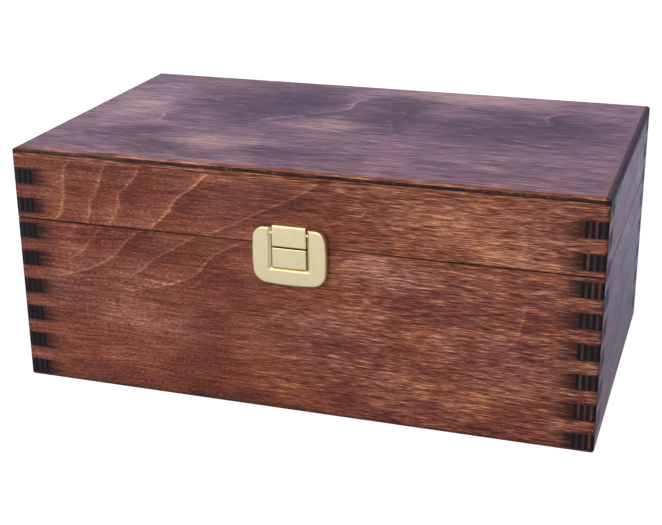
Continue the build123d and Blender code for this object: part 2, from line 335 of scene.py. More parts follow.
def ply_of(tree, given):
    """The depth, how many inner plies lie above it, and 1 where its ply is crossed, else 0."""
    inner = tree.math("SUBTRACT", given["Thickness"], INSIDE_FACE)
    depth = tree.smaller(tree.largest(given["Depth"], INSIDE_FACE), inner)
    past_first = tree.math("SUBTRACT", depth, given["First Ply"])
    in_plies = tree.math("DIVIDE", past_first, given["Core Ply"])
    plies_above = tree.smaller(tree.largest(in_plies, -0.5), tree.add(given["Core Plies"], 0.5))
    counted = tree.add(tree.math("FLOOR", plies_above), ABOVE_ANY_NEGATIVE_PLY)
    crossed = tree.size_of(tree.rest_of(tree.math("MODULO", counted, 2.0)))
    return depth, plies_above, crossed


def grain_of(tree, place, given):
    """The grain's long streaks, and its fibres: short flecks or long threads, by the length."""
    along, across, depth = place
    slow = tree.vector(
        tree.times(along, WANDER_SQUEEZE[0]), tree.times(across, WANDER_SQUEEZE[1]), depth
    )
    wander = tree.times(tree.noise(slow, 1.0, 1.0), WANDER_WIDTH)
    wandered = (along, tree.add(across, wander), depth)
    streak = layer_noise(tree, wandered, STREAKS)
    fleck = layer_noise(tree, wandered, FLECKS)
    thread = layer_noise(tree, place, THREADS)
    return streak, tree.mix(given["Length"], fleck, thread)


def tint_of(tree, place, given, cloud_part):
    """Clouds of cooler and warmer wood, the dark ones cooler, and a bluish painted sheen over it
    all.
    """
    fine_tint = tree.swing(layer_noise(tree, place, FINE_TINTS), FINE_TINT_WIDTH)
    slow_tint = tree.swing(layer_noise(tree, place, BLUSHES), SLOW_TINT_WIDTH)
    cloud_tint = tree.times(cloud_part, TINT_OF_CLOUDS)
    light_tint = tree.add(cloud_tint, tree.times(given["Figure"], TINT_OF_FIGURE))
    cool = tree.times(tree.add(fine_tint, slow_tint, light_tint), given["Tint"])
    red, green, blue = (tree.math("MULTIPLY_ADD", cool, share, 1.0) for share in COOL_TINT)
    # Painted sheen: blue and some green added to the colour, a painted reflection
    green = tree.math("MULTIPLY_ADD", given["Haze"], GREEN_OF_PAINTED_SHEEN, green)
    return tree.vector(red, green, tree.add(blue, given["Haze"]))


def stain_of(tree, given, plies_above, crossed, cloud):
    """The light that the stain leaves: little in soaked plies and in shade, most of it red."""
    in_ply = tree.math("FRACT", tree.add(plies_above, ABOVE_ANY_NEGATIVE_PLY))
    from_glue = tree.smaller(in_ply, tree.rest_of(in_ply))
    away_from_glue = tree.span(from_glue, *GLUE_TO_BARE)
    in_cloud = tree.span(cloud, *BARE_CLOUDS, LEAST_BARE, 1.0)
    bare = tree.times(away_from_glue, in_cloud, tree.rest_of(given["Soak"]))
    open_wood = tree.rest_of(tree.times(crossed, tree.rest_of(bare)))
    red_light = tree.math("MULTIPLY_ADD", given["Shade"], RED_LOST_IN_SHADE, 1.0)
    red_lit = tree.times(open_wood, red_light)
    lit = tree.times(open_wood, tree.rest_of(given["Shade"]))
    return tree.vector(red_lit, lit, lit)


def varnish_roughness(tree, given, tone, end_on):
    """Light wood shines more than dark wood; soaked ends, shade and rubbed edges are dull."""
    long_rough = tree.span(tone, *DARK_TO_LIGHT, *ROUGHNESS_DARK_TO_LIGHT, smooth=False)
    end_dull = tree.times(tree.span(end_on, *DULL_ENDS), given["End Dull"])
    dull = tree.largest(tree.times(given["Shade"], DULL_SHADE), end_dull, given["Rubbed"])
    return tree.mix(dull, long_rough, 1.0)


def plywood_group():
    """Stained, varnished birch plywood: long grain, end grain and plies by the board's own axes."""
    inputs = {name: "Float" for name in PLYWOOD_INPUTS}
    outputs = {"Color": "Color", "Roughness": "Float", "Normal": "Vector"}
    group, tree, given = new_group("plywood", inputs, outputs)

    depth, plies_above, crossed = ply_of(tree, given)
    along = tree.mix(crossed, given["Along"], given["Across"])
    across = tree.mix(crossed, given["Across"], given["Along"])
    ply_step = tree.times(tree.math("FLOOR", plies_above), GRAIN_STEP_PER_PLY)
    place = (along, tree.add(across, ply_step), depth)
    end_on = tree.mix(crossed, given["Face Along"], given["Face Across"])
    end_share = tree.span(tree.math("SUBTRACT", end_on, given["End From"]), 0.0, END_BLEND)

    streak, fibre = grain_of(tree, place, given)
    cloud = layer_noise(tree, place, CLOUDS)
    cloud_part = tree.swing(cloud, CLOUD_CONTRAST)
    streak_part = tree.swing(streak, given["Streak"])
    fibre_part = tree.swing(fibre, given["Contrast"])
    tone = tree.add(MEAN_TONE, streak_part, fibre_part, cloud_part, given["Figure"])

    tint = tint_of(tree, place, given, cloud_part)
    stain = stain_of(tree, given, plies_above, crossed, cloud)
    long_colour = tree.mix_colour(1.0, tree.ramp(tone, WOOD_TONES), tint, "MULTIPLY")
    long_colour = tree.mix_colour(1.0, long_colour, stain, "MULTIPLY")

    pit_place = (*place[:2], tree.times(depth, PIT_DEPTH_SQUEEZE))
    pits = layer_noise(tree, pit_place, PITS)
    colour = tree.mix_colour(end_share, long_colour, tree.ramp(pits, END_TONES))
    rough = varnish_roughness(tree, given, tone, end_on)
    long_relief = tree.add(tree.times(streak, 0.5), tree.times(fibre, 0.5))
    normal = tree.bump(tree.mix(end_share, long_relief, pits), *RELIEF)
    tree.node("NodeGroupOutput", {0: colour, 1: rough, 2: normal})
    return group


RING_EDGE = ring_edge_group()
PATCH = patch_group()
PLYWOOD = plywood_group()


# Wood: the figure, as growth rings and patches

# A flat line's tone is turned over and half as wide
FLAT_LINE_SCALE = -2.0
LINE_FADE = [(0.0, 0.0), (0.06, 1.0), (0.92, 1.0), (1.0, 0.0)]

# Rings at no drawn place
RING_SQUEEZE = 0.35
RING_SEED_STEP = 40.0
RING_HILL = (0.022, 1.0, 0.4)
RING_COUNT = 9.0
RING_SPACING = 18.0
RING_STRENGTH = 0.4

# The uneven rim of drawn patches
WARP_SQUEEZE = 0.4
WARP_NOISE = (0.12, 2.0)
WARP_WIDTH = 30.0


def figure_line(tree, along, across, points, strength, upright=True):
    """The tone beside a growth ring's edge through the (along, across) points.

    An upright line is measured along the grain, with its points in order of across.
    Another one is measured across the grain, with its points in order of along.
    """
    if not upright:
        along, across = across, along
        points = [(v, u) for u, v in points]
    low, high = points[0][1], points[-1][1]
    left = min(point[0] for point in points)
    width = max(point[0] for point in points) - left
    run = tree.span(across, low, high, smooth=False)
    shape = [((v - low) / (high - low), (u - left) / width) for u, v in points]
    edge = tree.math("MULTIPLY_ADD", tree.curve(run, shape), width, left)
    past = tree.math("SUBTRACT", along, edge)
    if not upright:
        past = tree.times(past, FLAT_LINE_SCALE)
    tone = tree.use(RING_EDGE, {"Distance": past})[0]
    return tree.times(tone, tree.curve(run, LINE_FADE), strength)


def figure_patch(tree, along, across, centre, size, strength):
    """The tone of a light or dark patch."""
    inputs = {"Along": along, "Across": across, "Centre": (*centre, 0.0), "Size": (*size, 1.0)}
    return tree.times(tree.use(PATCH, inputs)[0], strength)


def ring_figure(tree, along, across, seed):
    """Growth rings at no drawn place: the edges of the contours of a smooth, uneven hill."""
    place = tree.vector(tree.times(along, RING_SQUEEZE), across, seed * RING_SEED_STEP)
    hill = tree.noise(place, *RING_HILL)
    past = tree.times(tree.math("FRACT", tree.times(hill, RING_COUNT)), RING_SPACING)
    return tree.times(tree.use(RING_EDGE, {"Distance": past})[0], RING_STRENGTH)


def drawn_figure(lines, flat_lines, patches, strength):
    """A figure with ring edges and light or dark patches at given places."""

    def figure(tree, along, across, seed):
        parts = [figure_line(tree, along, across, points, share) for points, share in lines]
        parts += [
            figure_line(tree, along, across, points, share, False) for points, share in flat_lines
        ]
        warp_place = tree.vector(tree.times(along, WARP_SQUEEZE), across, seed)
        warp = tree.math("SUBTRACT", tree.noise(warp_place, *WARP_NOISE), 0.5)
        warped = tree.math("MULTIPLY_ADD", warp, WARP_WIDTH, along)
        for centre, size, share in patches:
            parts.append(figure_patch(tree, warped, across, centre, size, share))
        return tree.times(tree.add(*parts), strength)

    return figure


# Wood: one board's material

Plies = namedtuple("Plies", "thickness outer inner_count inner")
WALL_PLY = WALL / WALL_PLIES
WALL_BOARD = Plies(WALL, WALL_PLY, WALL_PLIES - 2.0, WALL_PLY)
PANEL_BOARD = Plies(TOP_THICKNESS, 0.5, 1.0, 1.25)

# A grain's last field is the strength of a bluish painted sheen, a painted reflection, on broad
# faces
Grain = namedtuple("Grain", "streak contrast length tint haze")
PLAIN_GRAIN = Grain(1.1, 2.4, 0.6, 1.0, 0.0)
SIDE_GRAIN = Grain(0.7, 1.5, 0.6, 1.0, 0.0)
TOP_GRAIN = Grain(2.2, 1.9, 1.0, 0.4, 0.35)
FRONT_LEFT_GRAIN = Grain(1.0, 1.8, 0.35, 1.0, 0.0)
FRONT_RIGHT_GRAIN = Grain(1.5, 3.1, 0.9, 1.0, 0.0)
FRONT_GRAIN_RUN = (-50.0, 60.0)
FRONT_LENGTH_RUN = (-60.0, 20.0)

# How squarely the fibres are met where end grain starts, how far the crossed plies soaked the
# stain up, and how dull the ends are
Ends = namedtuple("Ends", "start soak dull")
PLAIN_ENDS = Ends(0.78, 0.6, 0.8)
FRONT_ENDS = Ends(0.78, 0.6, 0.4)
BACK_ENDS = Ends(0.78, 0.6, 0.15)
LEFT_ENDS = Ends(0.2, 0.9, 0.8)
RIGHT_ENDS = Ends(0.2, 0.55, 0.8)
TOP_ENDS = Ends(0.78, 0.6, 0.2)

# The figure of a board stays in its outer ply, and its lines are feathered
FIGURE_FADE = 0.5
FEATHER_SQUEEZE = 0.12
FEATHER_NOISE = (1.0, 2.0, 0.6)
FEATHER_WIDTH = 2.4

GRAIN_STEP_PER_SEED = 311.0
# How squarely a broad face faces out, and the least painted sheen that every face gets
FACING_OUT = (0.92, 0.995)
LEAST_PAINTED_SHEEN = 0.08


def board_place(tree, axes):
    """The place along, across and through a board, and how squarely it faces those ways."""
    coordinates = tree.node("ShaderNodeTexCoord").outputs
    place = tree.split(tree.vector_math("MULTIPLY", coordinates["Object"], TO_MILLIMETRES))
    normal = tree.split(coordinates["Normal"])
    return [place[axis] for axis in axes], [tree.size_of(normal[axis]) for axis in axes]


def board_figure(tree, board, along, across, depth):
    """A board's figure, with its lines feathered, in the outer ply alone."""
    feather_place = tree.vector(tree.times(along, FEATHER_SQUEEZE), across, 0.0)
    feather = tree.swing(tree.noise(feather_place, *FEATHER_NOISE), FEATHER_WIDTH)
    tone = board.figure(tree, tree.add(along, feather), across, board.seed)
    outer = board.plies.outer
    return tree.times(tone, tree.span(depth, outer, outer + FIGURE_FADE, 1.0, 0.0))


# A board's axes are those along, across and through it, 0 to 2 for X to Z, and outside is the
# place of its outer face through it. Its figure, shade and rubbed are functions of the place, and
# its grain is one Grain for all of it, or a function of the place along.
Board = namedtuple(
    "Board",
    "axes outside plies seed figure shade grain ends rubbed",
    defaults=(ring_figure, None, PLAIN_GRAIN, PLAIN_ENDS, None),
)


def board_inputs(tree, board):
    """What the plywood group is given for one board."""
    (along, across, through), facing = board_place(tree, board.axes)
    depth = tree.size_of(tree.math("SUBTRACT", through, board.outside))
    grain = board.grain(tree, along) if callable(board.grain) else board.grain
    # The painted sheen, a painted reflection, is strongest on the broad faces
    faces_out = tree.span(facing[2], *FACING_OUT)
    return {
        "Along": tree.add(along, board.seed * GRAIN_STEP_PER_SEED),
        "Across": across,
        "Depth": depth,
        "Thickness": board.plies.thickness,
        "First Ply": board.plies.outer,
        "Core Plies": board.plies.inner_count,
        "Core Ply": board.plies.inner,
        "Face Along": facing[0],
        "Face Across": facing[1],
        "Figure": board_figure(tree, board, along, across, depth),
        "Shade": board.shade(tree, along, across, depth) if board.shade else 0.0,
        "End From": board.ends.start,
        "Soak": board.ends.soak,
        "End Dull": board.ends.dull,
        "Streak": grain.streak,
        "Contrast": grain.contrast,
        "Length": grain.length,
        "Tint": grain.tint,
        "Haze": tree.math("MULTIPLY_ADD", faces_out, grain.haze, LEAST_PAINTED_SHEEN),
        "Rubbed": board.rubbed(tree, along, across) if board.rubbed else 0.0,
    }


def wood_material(name, board):
    """Plywood for one board."""
    material, tree, shader = new_material(name)
    made = tree.use(PLYWOOD, board_inputs(tree, board))
    tree.feed(shader.inputs["Base Color"], made["Color"])
    tree.feed(shader.inputs["Roughness"], made["Roughness"])
    tree.feed(shader.inputs["Normal"], made["Normal"])
    shader.inputs["Specular IOR Level"].default_value = SPECULAR
    return material


def front_grain(tree, along):
    """The front's grain is stronger and longer towards its right."""
    streak = tree.span(along, *FRONT_GRAIN_RUN, FRONT_LEFT_GRAIN.streak, FRONT_RIGHT_GRAIN.streak)
    contrast = tree.span(
        along, *FRONT_GRAIN_RUN, FRONT_LEFT_GRAIN.contrast, FRONT_RIGHT_GRAIN.contrast
    )
    length = tree.span(along, *FRONT_LENGTH_RUN, FRONT_LEFT_GRAIN.length, FRONT_RIGHT_GRAIN.length)
    return FRONT_LEFT_GRAIN._replace(streak=streak, contrast=contrast, length=length)


# Wood: where it is darker or duller. A reach is in millimetres from the edge or the seam, a band
# is in finger pitches, and the seam's run is in the wall's half lengths.

RUBBED_REACH = (3.0, 4.6)
RUBBED_MOST = 0.7
RUBBED_RUN = (-120.0, 0.0)
RUBBED_AT_LEFT = 0.35

RAGGED_SQUEEZE = 0.1
RAGGED_NOISE = (0.8, 2.0)
RAGGED_BANDS = 0.06
RAGGED_REACH = -14.0
ABOVE_ANY_NEGATIVE_TURN = 100.0
DARK_FIRST_MIDDLE = 0.25
DARK_SECOND_MIDDLE = 0.75
FINGER_BAND = (0.37, 0.22)
HALO_REACH = (8.5, 20.5)
HALO_SHADE = 0.96
# At the rounded corners: stain, and painted shade where they turn from the light
RIM_REACH = (-1.0, 3.0)
RIM_SHADE = 0.45
# Along the seam: stain in the saw cut's edges, and painted shade of the gap
SEAM_REACH = (0.2, 0.9)
SEAM_SHADE = 0.75
SEAM_RUN = (0.1, 0.7)
SEAM_AT_MIDDLE = 0.3
# Darker towards the bottom edge
FOOT_REACH = (0.4, 2.2)
FOOT_SHADE = 0.5
WALL_SHADE_DEPTH = (1.0, 2.0)

# Painted shade on the top's rounded short edges
PANEL_END_REACH = (1.6, 2.6)
PANEL_END_SHADE = 0.75
PANEL_SHADE_DEPTH = (2.2, 2.8)


def rubbed_edge(tree, along, across):
    """Varnish rubbed dull along the top's front edge, most of it towards the right."""
    to_edge = tree.add(across, HALF_DEPTH)
    at_edge = tree.span(to_edge, *RUBBED_REACH, RUBBED_MOST, 0.0)
    return tree.times(at_edge, tree.span(along, *RUBBED_RUN, RUBBED_AT_LEFT, 1.0))


def beside_fingers(tree, across, ragged, first, dark_first):
    """1 at the height of a neighbour's finger ends, 0 at the height of the wall's own fingers.

    A left or right wall's finger starts at first and at each pitch above it. With dark_first
    those walls are the neighbours.
    """
    turns = tree.times(tree.math("SUBTRACT", across, first), 1.0 / FINGER_PITCH)
    phase = tree.math("FRACT", tree.add(turns, ABOVE_ANY_NEGATIVE_TURN))
    middle = DARK_FIRST_MIDDLE if dark_first else DARK_SECOND_MIDDLE
    from_middle = tree.size_of(tree.math("SUBTRACT", phase, middle))
    near = tree.smaller(from_middle, tree.rest_of(from_middle))
    return tree.span(tree.add(near, tree.times(ragged, RAGGED_BANDS)), *FINGER_BAND)


def seam_shade(tree, along, across, half_length):
    """Stain in the saw cut's edges and painted shade of the gap between case and lid, less of both
    at the middle of the wall.
    """
    from_seam = tree.size_of(tree.math("SUBTRACT", across, SEAM))
    run = [share * half_length for share in SEAM_RUN]
    outward = tree.span(tree.size_of(along), *run, SEAM_AT_MIDDLE, 1.0)
    return tree.times(tree.span(from_seam, *SEAM_REACH, SEAM_SHADE, 0.0), outward)


def wall_shade(half_length, first, dark_first):
    """Stain by its neighbours' finger ends; stain and painted shade at its corners and seam; darker
    at its foot.
    """

    def shade(tree, along, across, depth):
        to_corner = tree.math("SUBTRACT", half_length, tree.size_of(along))
        ragged_place = tree.vector(tree.times(along, RAGGED_SQUEEZE), across, 0.0)
        ragged = tree.math("SUBTRACT", tree.noise(ragged_place, *RAGGED_NOISE), 0.5)
        reach = tree.add(to_corner, tree.times(ragged, RAGGED_REACH))
        band = beside_fingers(tree, across, ragged, first, dark_first)
        halo = tree.times(band, tree.span(reach, *HALO_REACH, HALO_SHADE, 0.0))
        # Stain at the rounded corners, and painted shade where they turn from the light
        rim = tree.span(reach, *RIM_REACH, RIM_SHADE, 0.0)
        # Painted shade of the gap along the seam, with stain in the saw cut's edges
        cut = seam_shade(tree, along, across, half_length)
        # Darker towards the bottom edge
        foot = tree.span(across, *FOOT_REACH, FOOT_SHADE, 0.0)
        outer = tree.span(depth, *WALL_SHADE_DEPTH, 1.0, 0.0)
        return tree.times(tree.largest(halo, rim, cut, foot), outer)

    return shade


def panel_shade(tree, along, across, depth):
    """Painted shade on the top's rounded short edges."""
    to_end = tree.math("SUBTRACT", HALF_WIDTH, tree.size_of(along))
    rounded = tree.span(depth, *PANEL_SHADE_DEPTH, 1.0, 0.0)
    return tree.times(tree.span(to_end, *PANEL_END_REACH, PANEL_END_SHADE, 0.0), rounded)


# The drawn figure, as (along, across) in millimetres with a strength. On the front, across is the
# height. A patch is its centre, its half sizes and its strength. The wide strip along the case
# front's bottom is painted shade, and the one along the top's front edge is painted light.

FRONT_LID_LINES = [
    ([(-109.5, 76.0), (-105.8, 80.0), (-103.9, 88.0), (-103.0, 98.0), (-98.3, 103.5)], 0.8),
    (
        [(-94.0, 76.0), (-92.0, 81.0), (-91.5, 85.0), (-88.0, 91.0), (-86.0, 97.0), (-83.0, 103.5)],
        0.7,
    ),
    (
        [(-83.5, 76.0), (-80.0, 81.0), (-77.8, 86.0), (-77.8, 90.5), (-74.5, 93.0), (-67.0, 103.5)],
        0.8,
    ),
    (
        [(-64.5, 76.0), (-60.0, 80.0), (-55.0, 85.0), (-52.0, 90.0), (-44.0, 96.0), (-36.0, 103.5)],
        1.1,
    ),
    (
        [(-38.5, 76.0), (-27.0, 81.5), (-16.0, 87.5), (-6.0, 92.5), (2.0, 96.5), (12.0, 103.5)],
        0.8,
    ),
    ([(13.0, 85.0), (22.5, 88.5), (29.5, 91.0), (31.5, 94.0), (28.0, 97.0), (40.0, 100.0)], 0.6),
    ([(94.0, 80.0), (96.0, 85.0), (96.0, 90.0), (91.0, 92.5)], 0.3),
]
FRONT_LID_PATCHES = [
    ((69.0, 92.0), (55.0, 15.0), 0.22),
    ((90.0, 81.0), (30.0, 12.0), 0.16),
    ((-86.0, 82.0), (28.0, 10.0), 0.1),
    ((8.0, 92.0), (28.0, 18.0), -0.13),
    ((-15.0, 96.0), (30.0, 8.0), -0.05),
    ((45.0, 83.0), (30.0, 6.0), -0.06),
]
FRONT_CASE_LINES = [
    ([(-106.0, 65.0), (-103.0, 69.5), (-98.0, 75.0)], 0.4),
    ([(-104.0, 58.0), (-95.0, 65.0), (-91.0, 70.0), (-86.0, 75.0)], 0.6),
    (
        [(-110.0, 50.0), (-98.0, 53.5), (-90.0, 57.0), (-82.0, 62.0), (-75.0, 70.0), (-68.0, 75.3)],
        0.9,
    ),
    (
        [(-74.0, 53.5), (-68.0, 58.0), (-62.0, 63.5), (-55.0, 67.5), (-50.0, 70.5), (-43.0, 75.3)],
        0.7,
    ),
    (
        [(-80.0, 46.0), (-66.0, 49.0), (-53.0, 53.0), (-43.0, 58.5), (-36.0, 66.5), (-20.0, 75.3)],
        0.8,
    ),
    ([(-48.0, 50.0), (-42.0, 54.5), (-33.0, 61.0), (-26.0, 65.0)], 0.4),
    (
        [(-34.8, 9.8), (-46.0, 16.3), (-60.8, 19.0), (-72.0, 25.5),
         (-79.3, 35.7), (-81.2, 40.3), (-79.3, 47.0)],
        -0.25,
    ),
    ([(-46.0, 36.7), (-51.7, 40.3), (-50.0, 44.0)], -0.2),
    ([(-16.3, 37.5), (-11.8, 40.3), (-3.5, 45.8), (17.5, 52.0)], 0.4),
    ([(89.5, 40.3), (94.2, 45.8), (95.5, 49.7), (97.0, 57.0), (97.8, 63.5)], 0.5),
]
FRONT_CASE_PATCHES = [
    ((32.0, 66.0), (42.0, 18.0), 0.17),
    ((-67.0, 36.0), (36.0, 28.0), 0.15),
    ((22.0, 50.0), (30.0, 12.0), 0.12),
    ((56.0, 20.0), (44.0, 11.0), 0.1),
    ((-102.0, 62.0), (20.0, 14.0), 0.14),
    ((-77.0, 72.0), (34.0, 8.0), -0.1),
    ((49.0, 52.0), (22.0, 14.0), -0.1),
    ((-20.0, 45.0), (28.0, 16.0), -0.09),
    ((-42.0, 20.0), (32.0, 12.0), -0.12),
    ((63.0, 62.0), (28.0, 8.0), -0.08),
    ((32.0, 34.0), (34.0, 5.0), -0.08),
    # Painted shade along the case front's bottom, where the floor shades it
    ((0.0, -2.0), (400.0, 16.0), -0.2),
]
TOP_LINES = [
    (
        [(-40.0, -2.3), (-34.2, 4.3), (-25.8, 10.2), (-18.3, 18.5),
         (-10.8, 24.3), (-7.8, 31.0), (-8.3, 42.7), (0.8, 54.3)],
        1.0,
    ),
    (
        [(58.3, 11.0), (59.2, 13.0), (72.5, 16.8), (80.8, 21.0), (88.7, 26.8), (85.8, 32.7),
         (84.5, 38.5), (87.5, 44.3), (93.3, 48.5), (100.8, 51.8), (112.5, 56.0)],
        1.1,
    ),
    ([(-86.7, 21.0), (-77.5, 26.0), (-72.5, 32.7), (-69.2, 38.5)], 0.5),
    ([(-77.5, -17.3), (-85.8, -14.8), (-87.5, -5.7), (-89.2, -0.7), (-79.2, 4.3)], 0.7),
    ([(-40.8, 31.0), (-40.8, 39.3), (-41.7, 47.7)], 0.5),
    ([(-33.3, 27.7), (-36.7, 37.7)], 0.4),
    ([(22.5, -1.5), (19.2, 6.0), (15.8, 14.3)], 0.5),
    ([(20.0, 17.7), (20.0, 26.0), (14.2, 37.7)], 0.4),
]
TOP_FLAT_LINES = [
    (
        [(-40.0, -2.3), (-35.8, -5.7), (-27.5, -7.3), (-17.5, -8.2),
         (-4.2, -11.5), (9.2, -14.8), (60.0, -20.0)],
        0.8,
    ),
    ([(58.3, 9.3), (60.8, 3.5), (66.7, 0.2), (79.2, -4.8), (95.8, -10.7), (119.2, -14.8)], 0.8),
    (
        [(-104.2, -45.7), (-94.2, -49.0), (-84.2, -53.2),
         (-77.5, -56.5), (-70.8, -64.0), (-67.5, -70.7)],
        0.6,
    ),
    ([(-74.2, -39.8), (-67.5, -37.7), (-54.2, -35.7), (-40.8, -33.2), (-27.5, -32.3)], 0.5),
    ([(-74.2, -39.8), (-60.8, -43.2), (-44.2, -42.7), (-29.2, -44.3)], -0.6),
    (
        [(-20.8, -59.0), (-12.5, -53.2), (-2.5, -47.3),
         (10.8, -43.7), (30.8, -41.8), (49.2, -41.5)],
        0.7,
    ),
    (
        [(22.5, -54.8), (39.2, -53.2), (55.8, -52.3),
         (80.8, -53.2), (105.8, -56.5), (119.2, -58.2)],
        0.6,
    ),
]
TOP_PATCHES = [
    ((-50.0, 26.0), (50.0, 60.0), -0.3),
    ((-27.0, 42.0), (30.0, 50.0), -0.2),
    ((14.0, 30.0), (26.0, 55.0), -0.35),
    ((89.0, 18.0), (52.0, 45.0), -0.34),
    ((-87.0, -36.0), (30.0, 20.0), -0.25),
    ((-70.0, -57.0), (20.0, 16.0), -0.25),
    ((-12.0, -51.0), (34.0, 15.0), -0.2),
    ((64.0, 43.0), (28.0, 18.0), -0.15),
    ((48.0, 8.0), (44.0, 34.0), -0.24),
    ((-107.0, 6.0), (34.0, 60.0), 0.26),
    ((-12.0, -2.0), (40.0, 16.0), 0.26),
    ((39.0, 66.0), (66.0, 18.0), 0.3),
    ((-52.0, -39.0), (46.0, 14.0), 0.32),
    ((66.0, 56.0), (44.0, 14.0), 0.15),
    # Painted light along the top's front edge
    ((0.0, -78.0), (400.0, 16.0), 0.14),
]
TOP_FIGURE_STRENGTH = 1.35


# Metal

LATCH_BRASS = (0.88, 0.75, 0.455)
HINGE_BRASS = (0.72, 0.56, 0.28)
LATCH_ROUGHNESS = 0.36
HINGE_ROUGHNESS = 0.32
# How finely each is brushed along X, Y and Z, in steps of the noise per metre
LATCH_BRUSHED = (300.0, 300.0, 4000.0)
HINGE_BRUSHED = (300.0, 3000.0, 4000.0)
BRUSH_NOISE = (1.0, 3.0, 0.6)
MOTTLE_NOISE = (260.0, 3.0, 0.6)
MOTTLE_EDGES = (0.3, 0.7)
MOTTLE_DIM = 0.95
MOTTLE_ROUGHNESS = 0.1
BRUSH_ROUGHNESS = 0.06
# The relief's strength, and its height in metres
BRUSH_RELIEF = (0.15, 0.00003)


def brass_material(name, colour, roughness, brushed):
    """Satin brass: a faint brushed grain and slight mottling in its gloss."""
    material, tree, shader = new_material(name)
    place = tree.node("ShaderNodeTexCoord").outputs["Object"]
    lines = tree.noise(tree.vector_math("MULTIPLY", place, brushed), *BRUSH_NOISE)
    mottle = tree.noise(place, *MOTTLE_NOISE)
    dimmer = tuple(MOTTLE_DIM * part for part in colour)
    tint = tree.mix_colour(tree.span(mottle, *MOTTLE_EDGES), dimmer, colour)
    tree.feed(shader.inputs["Base Color"], tint)
    smoothest = roughness - (MOTTLE_ROUGHNESS + BRUSH_ROUGHNESS) / 2.0
    mottle_part = tree.times(mottle, MOTTLE_ROUGHNESS)
    brush_part = tree.times(lines, BRUSH_ROUGHNESS)
    rough = tree.add(smoothest, mottle_part, brush_part)
    tree.feed(shader.inputs["Roughness"], rough)
    tree.feed(shader.inputs["Normal"], tree.bump(lines, *BRUSH_RELIEF))
    shader.inputs["Metallic"].default_value = 1.0
    return material


# Dressing the CAD nodes

ALONG_X_STANDING = (0, 2, 1)
ALONG_Y_STANDING = (1, 2, 0)
LYING = (0, 1, 2)
CASE_SEED = 1.0
LID_SEED = 2.0
TOP_SEED = 4.1
BOTTOM_SEED = 5.3
BACK_SEED_STEP = 0.37
LEFT_SEED_STEP = 0.53
RIGHT_SEED_STEP = 0.79


def dress(node, material):
    """Gives a CAD node its material."""
    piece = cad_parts[node]
    if not piece.material_slots:
        piece.data.materials.append(material)
    for spot in piece.material_slots:
        spot.material = material


def dress_walls(part, seed, first_finger, front_figure):
    """The four walls of the case or of the lid."""
    long_shade = wall_shade(HALF_WIDTH, first_finger, True)
    short_shade = wall_shade(HALF_DEPTH, first_finger, False)
    front = Board(ALONG_X_STANDING, -HALF_DEPTH, WALL_BOARD, seed)
    back = Board(ALONG_X_STANDING, HALF_DEPTH, WALL_BOARD, seed + BACK_SEED_STEP)
    left = Board(ALONG_Y_STANDING, -HALF_WIDTH, WALL_BOARD, seed + LEFT_SEED_STEP)
    right = Board(ALONG_Y_STANDING, HALF_WIDTH, WALL_BOARD, seed + RIGHT_SEED_STEP)
    front = front._replace(figure=front_figure, grain=front_grain, ends=FRONT_ENDS)
    back = back._replace(ends=BACK_ENDS)
    left = left._replace(grain=SIDE_GRAIN, ends=LEFT_ENDS)
    right = right._replace(grain=SIDE_GRAIN, ends=RIGHT_ENDS)
    for side, board, shade in [
        ("front", front, long_shade),
        ("back", back, long_shade),
        ("left", left, short_shade),
        ("right", right, short_shade),
    ]:
        material = wood_material(f"stained_plywood_{part}_{side}", board._replace(shade=shade))
        dress(f"{part}_{side}_wall", material)


def dress_panels():
    figure = drawn_figure(TOP_LINES, TOP_FLAT_LINES, TOP_PATCHES, TOP_FIGURE_STRENGTH)
    top = Board(LYING, TOP_HEIGHT, PANEL_BOARD, TOP_SEED, figure)
    top = top._replace(shade=panel_shade, grain=TOP_GRAIN, ends=TOP_ENDS, rubbed=rubbed_edge)
    dress("lid_top_panel", wood_material("stained_plywood_top", top))
    bottom = Board(LYING, BOTTOM_HEIGHT, PANEL_BOARD, BOTTOM_SEED)
    dress("case_bottom_panel", wood_material("stained_plywood_bottom", bottom))


def dress_wood():
    case_front = drawn_figure(FRONT_CASE_LINES, [], FRONT_CASE_PATCHES, 1.0)
    dress_walls("case", CASE_SEED, CASE_FIRST_FINGER, case_front)
    lid_front = drawn_figure(FRONT_LID_LINES, [], FRONT_LID_PATCHES, 1.0)
    dress_walls("lid", LID_SEED, LID_FIRST_FINGER, lid_front)
    dress_panels()


def dress_metal():
    latch = brass_material("satin_brass", LATCH_BRASS, LATCH_ROUGHNESS, LATCH_BRUSHED)
    hinge = brass_material("hinge_brass", HINGE_BRASS, HINGE_ROUGHNESS, HINGE_BRUSHED)
    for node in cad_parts:
        if node.startswith("latch_"):
            dress(node, latch)
        if node.startswith("hinge_"):
            dress(node, hinge)


# Stage. A span on the floor is in metres, and one in the world is part of a unit direction.

FLOOR_SIZE = 14.0
FLOOR_DROP = 0.0001
FLOOR_SEEN = (0.88, 0.88, 0.88)
FLOOR_PAINT = (0.3, 0.3, 0.3)
FLOOR_MIRRORED_AHEAD = (0.8, 0.79, 0.79)
FLOOR_MIRRORED_UNDER = (0.175, 0.24, 0.42)
FLOOR_MIRRORED_BEHIND = (0.365, 0.47, 0.75)
FLOOR_MIRRORED_RIGHT = (0.06, 0.06, 0.08)
FLOOR_AHEAD_TO_UNDER = (-0.5, 0.1)
FLOOR_UNDER_TO_BEHIND = (0.0, 0.32)
FLOOR_TO_RIGHT = (0.2, 0.26)

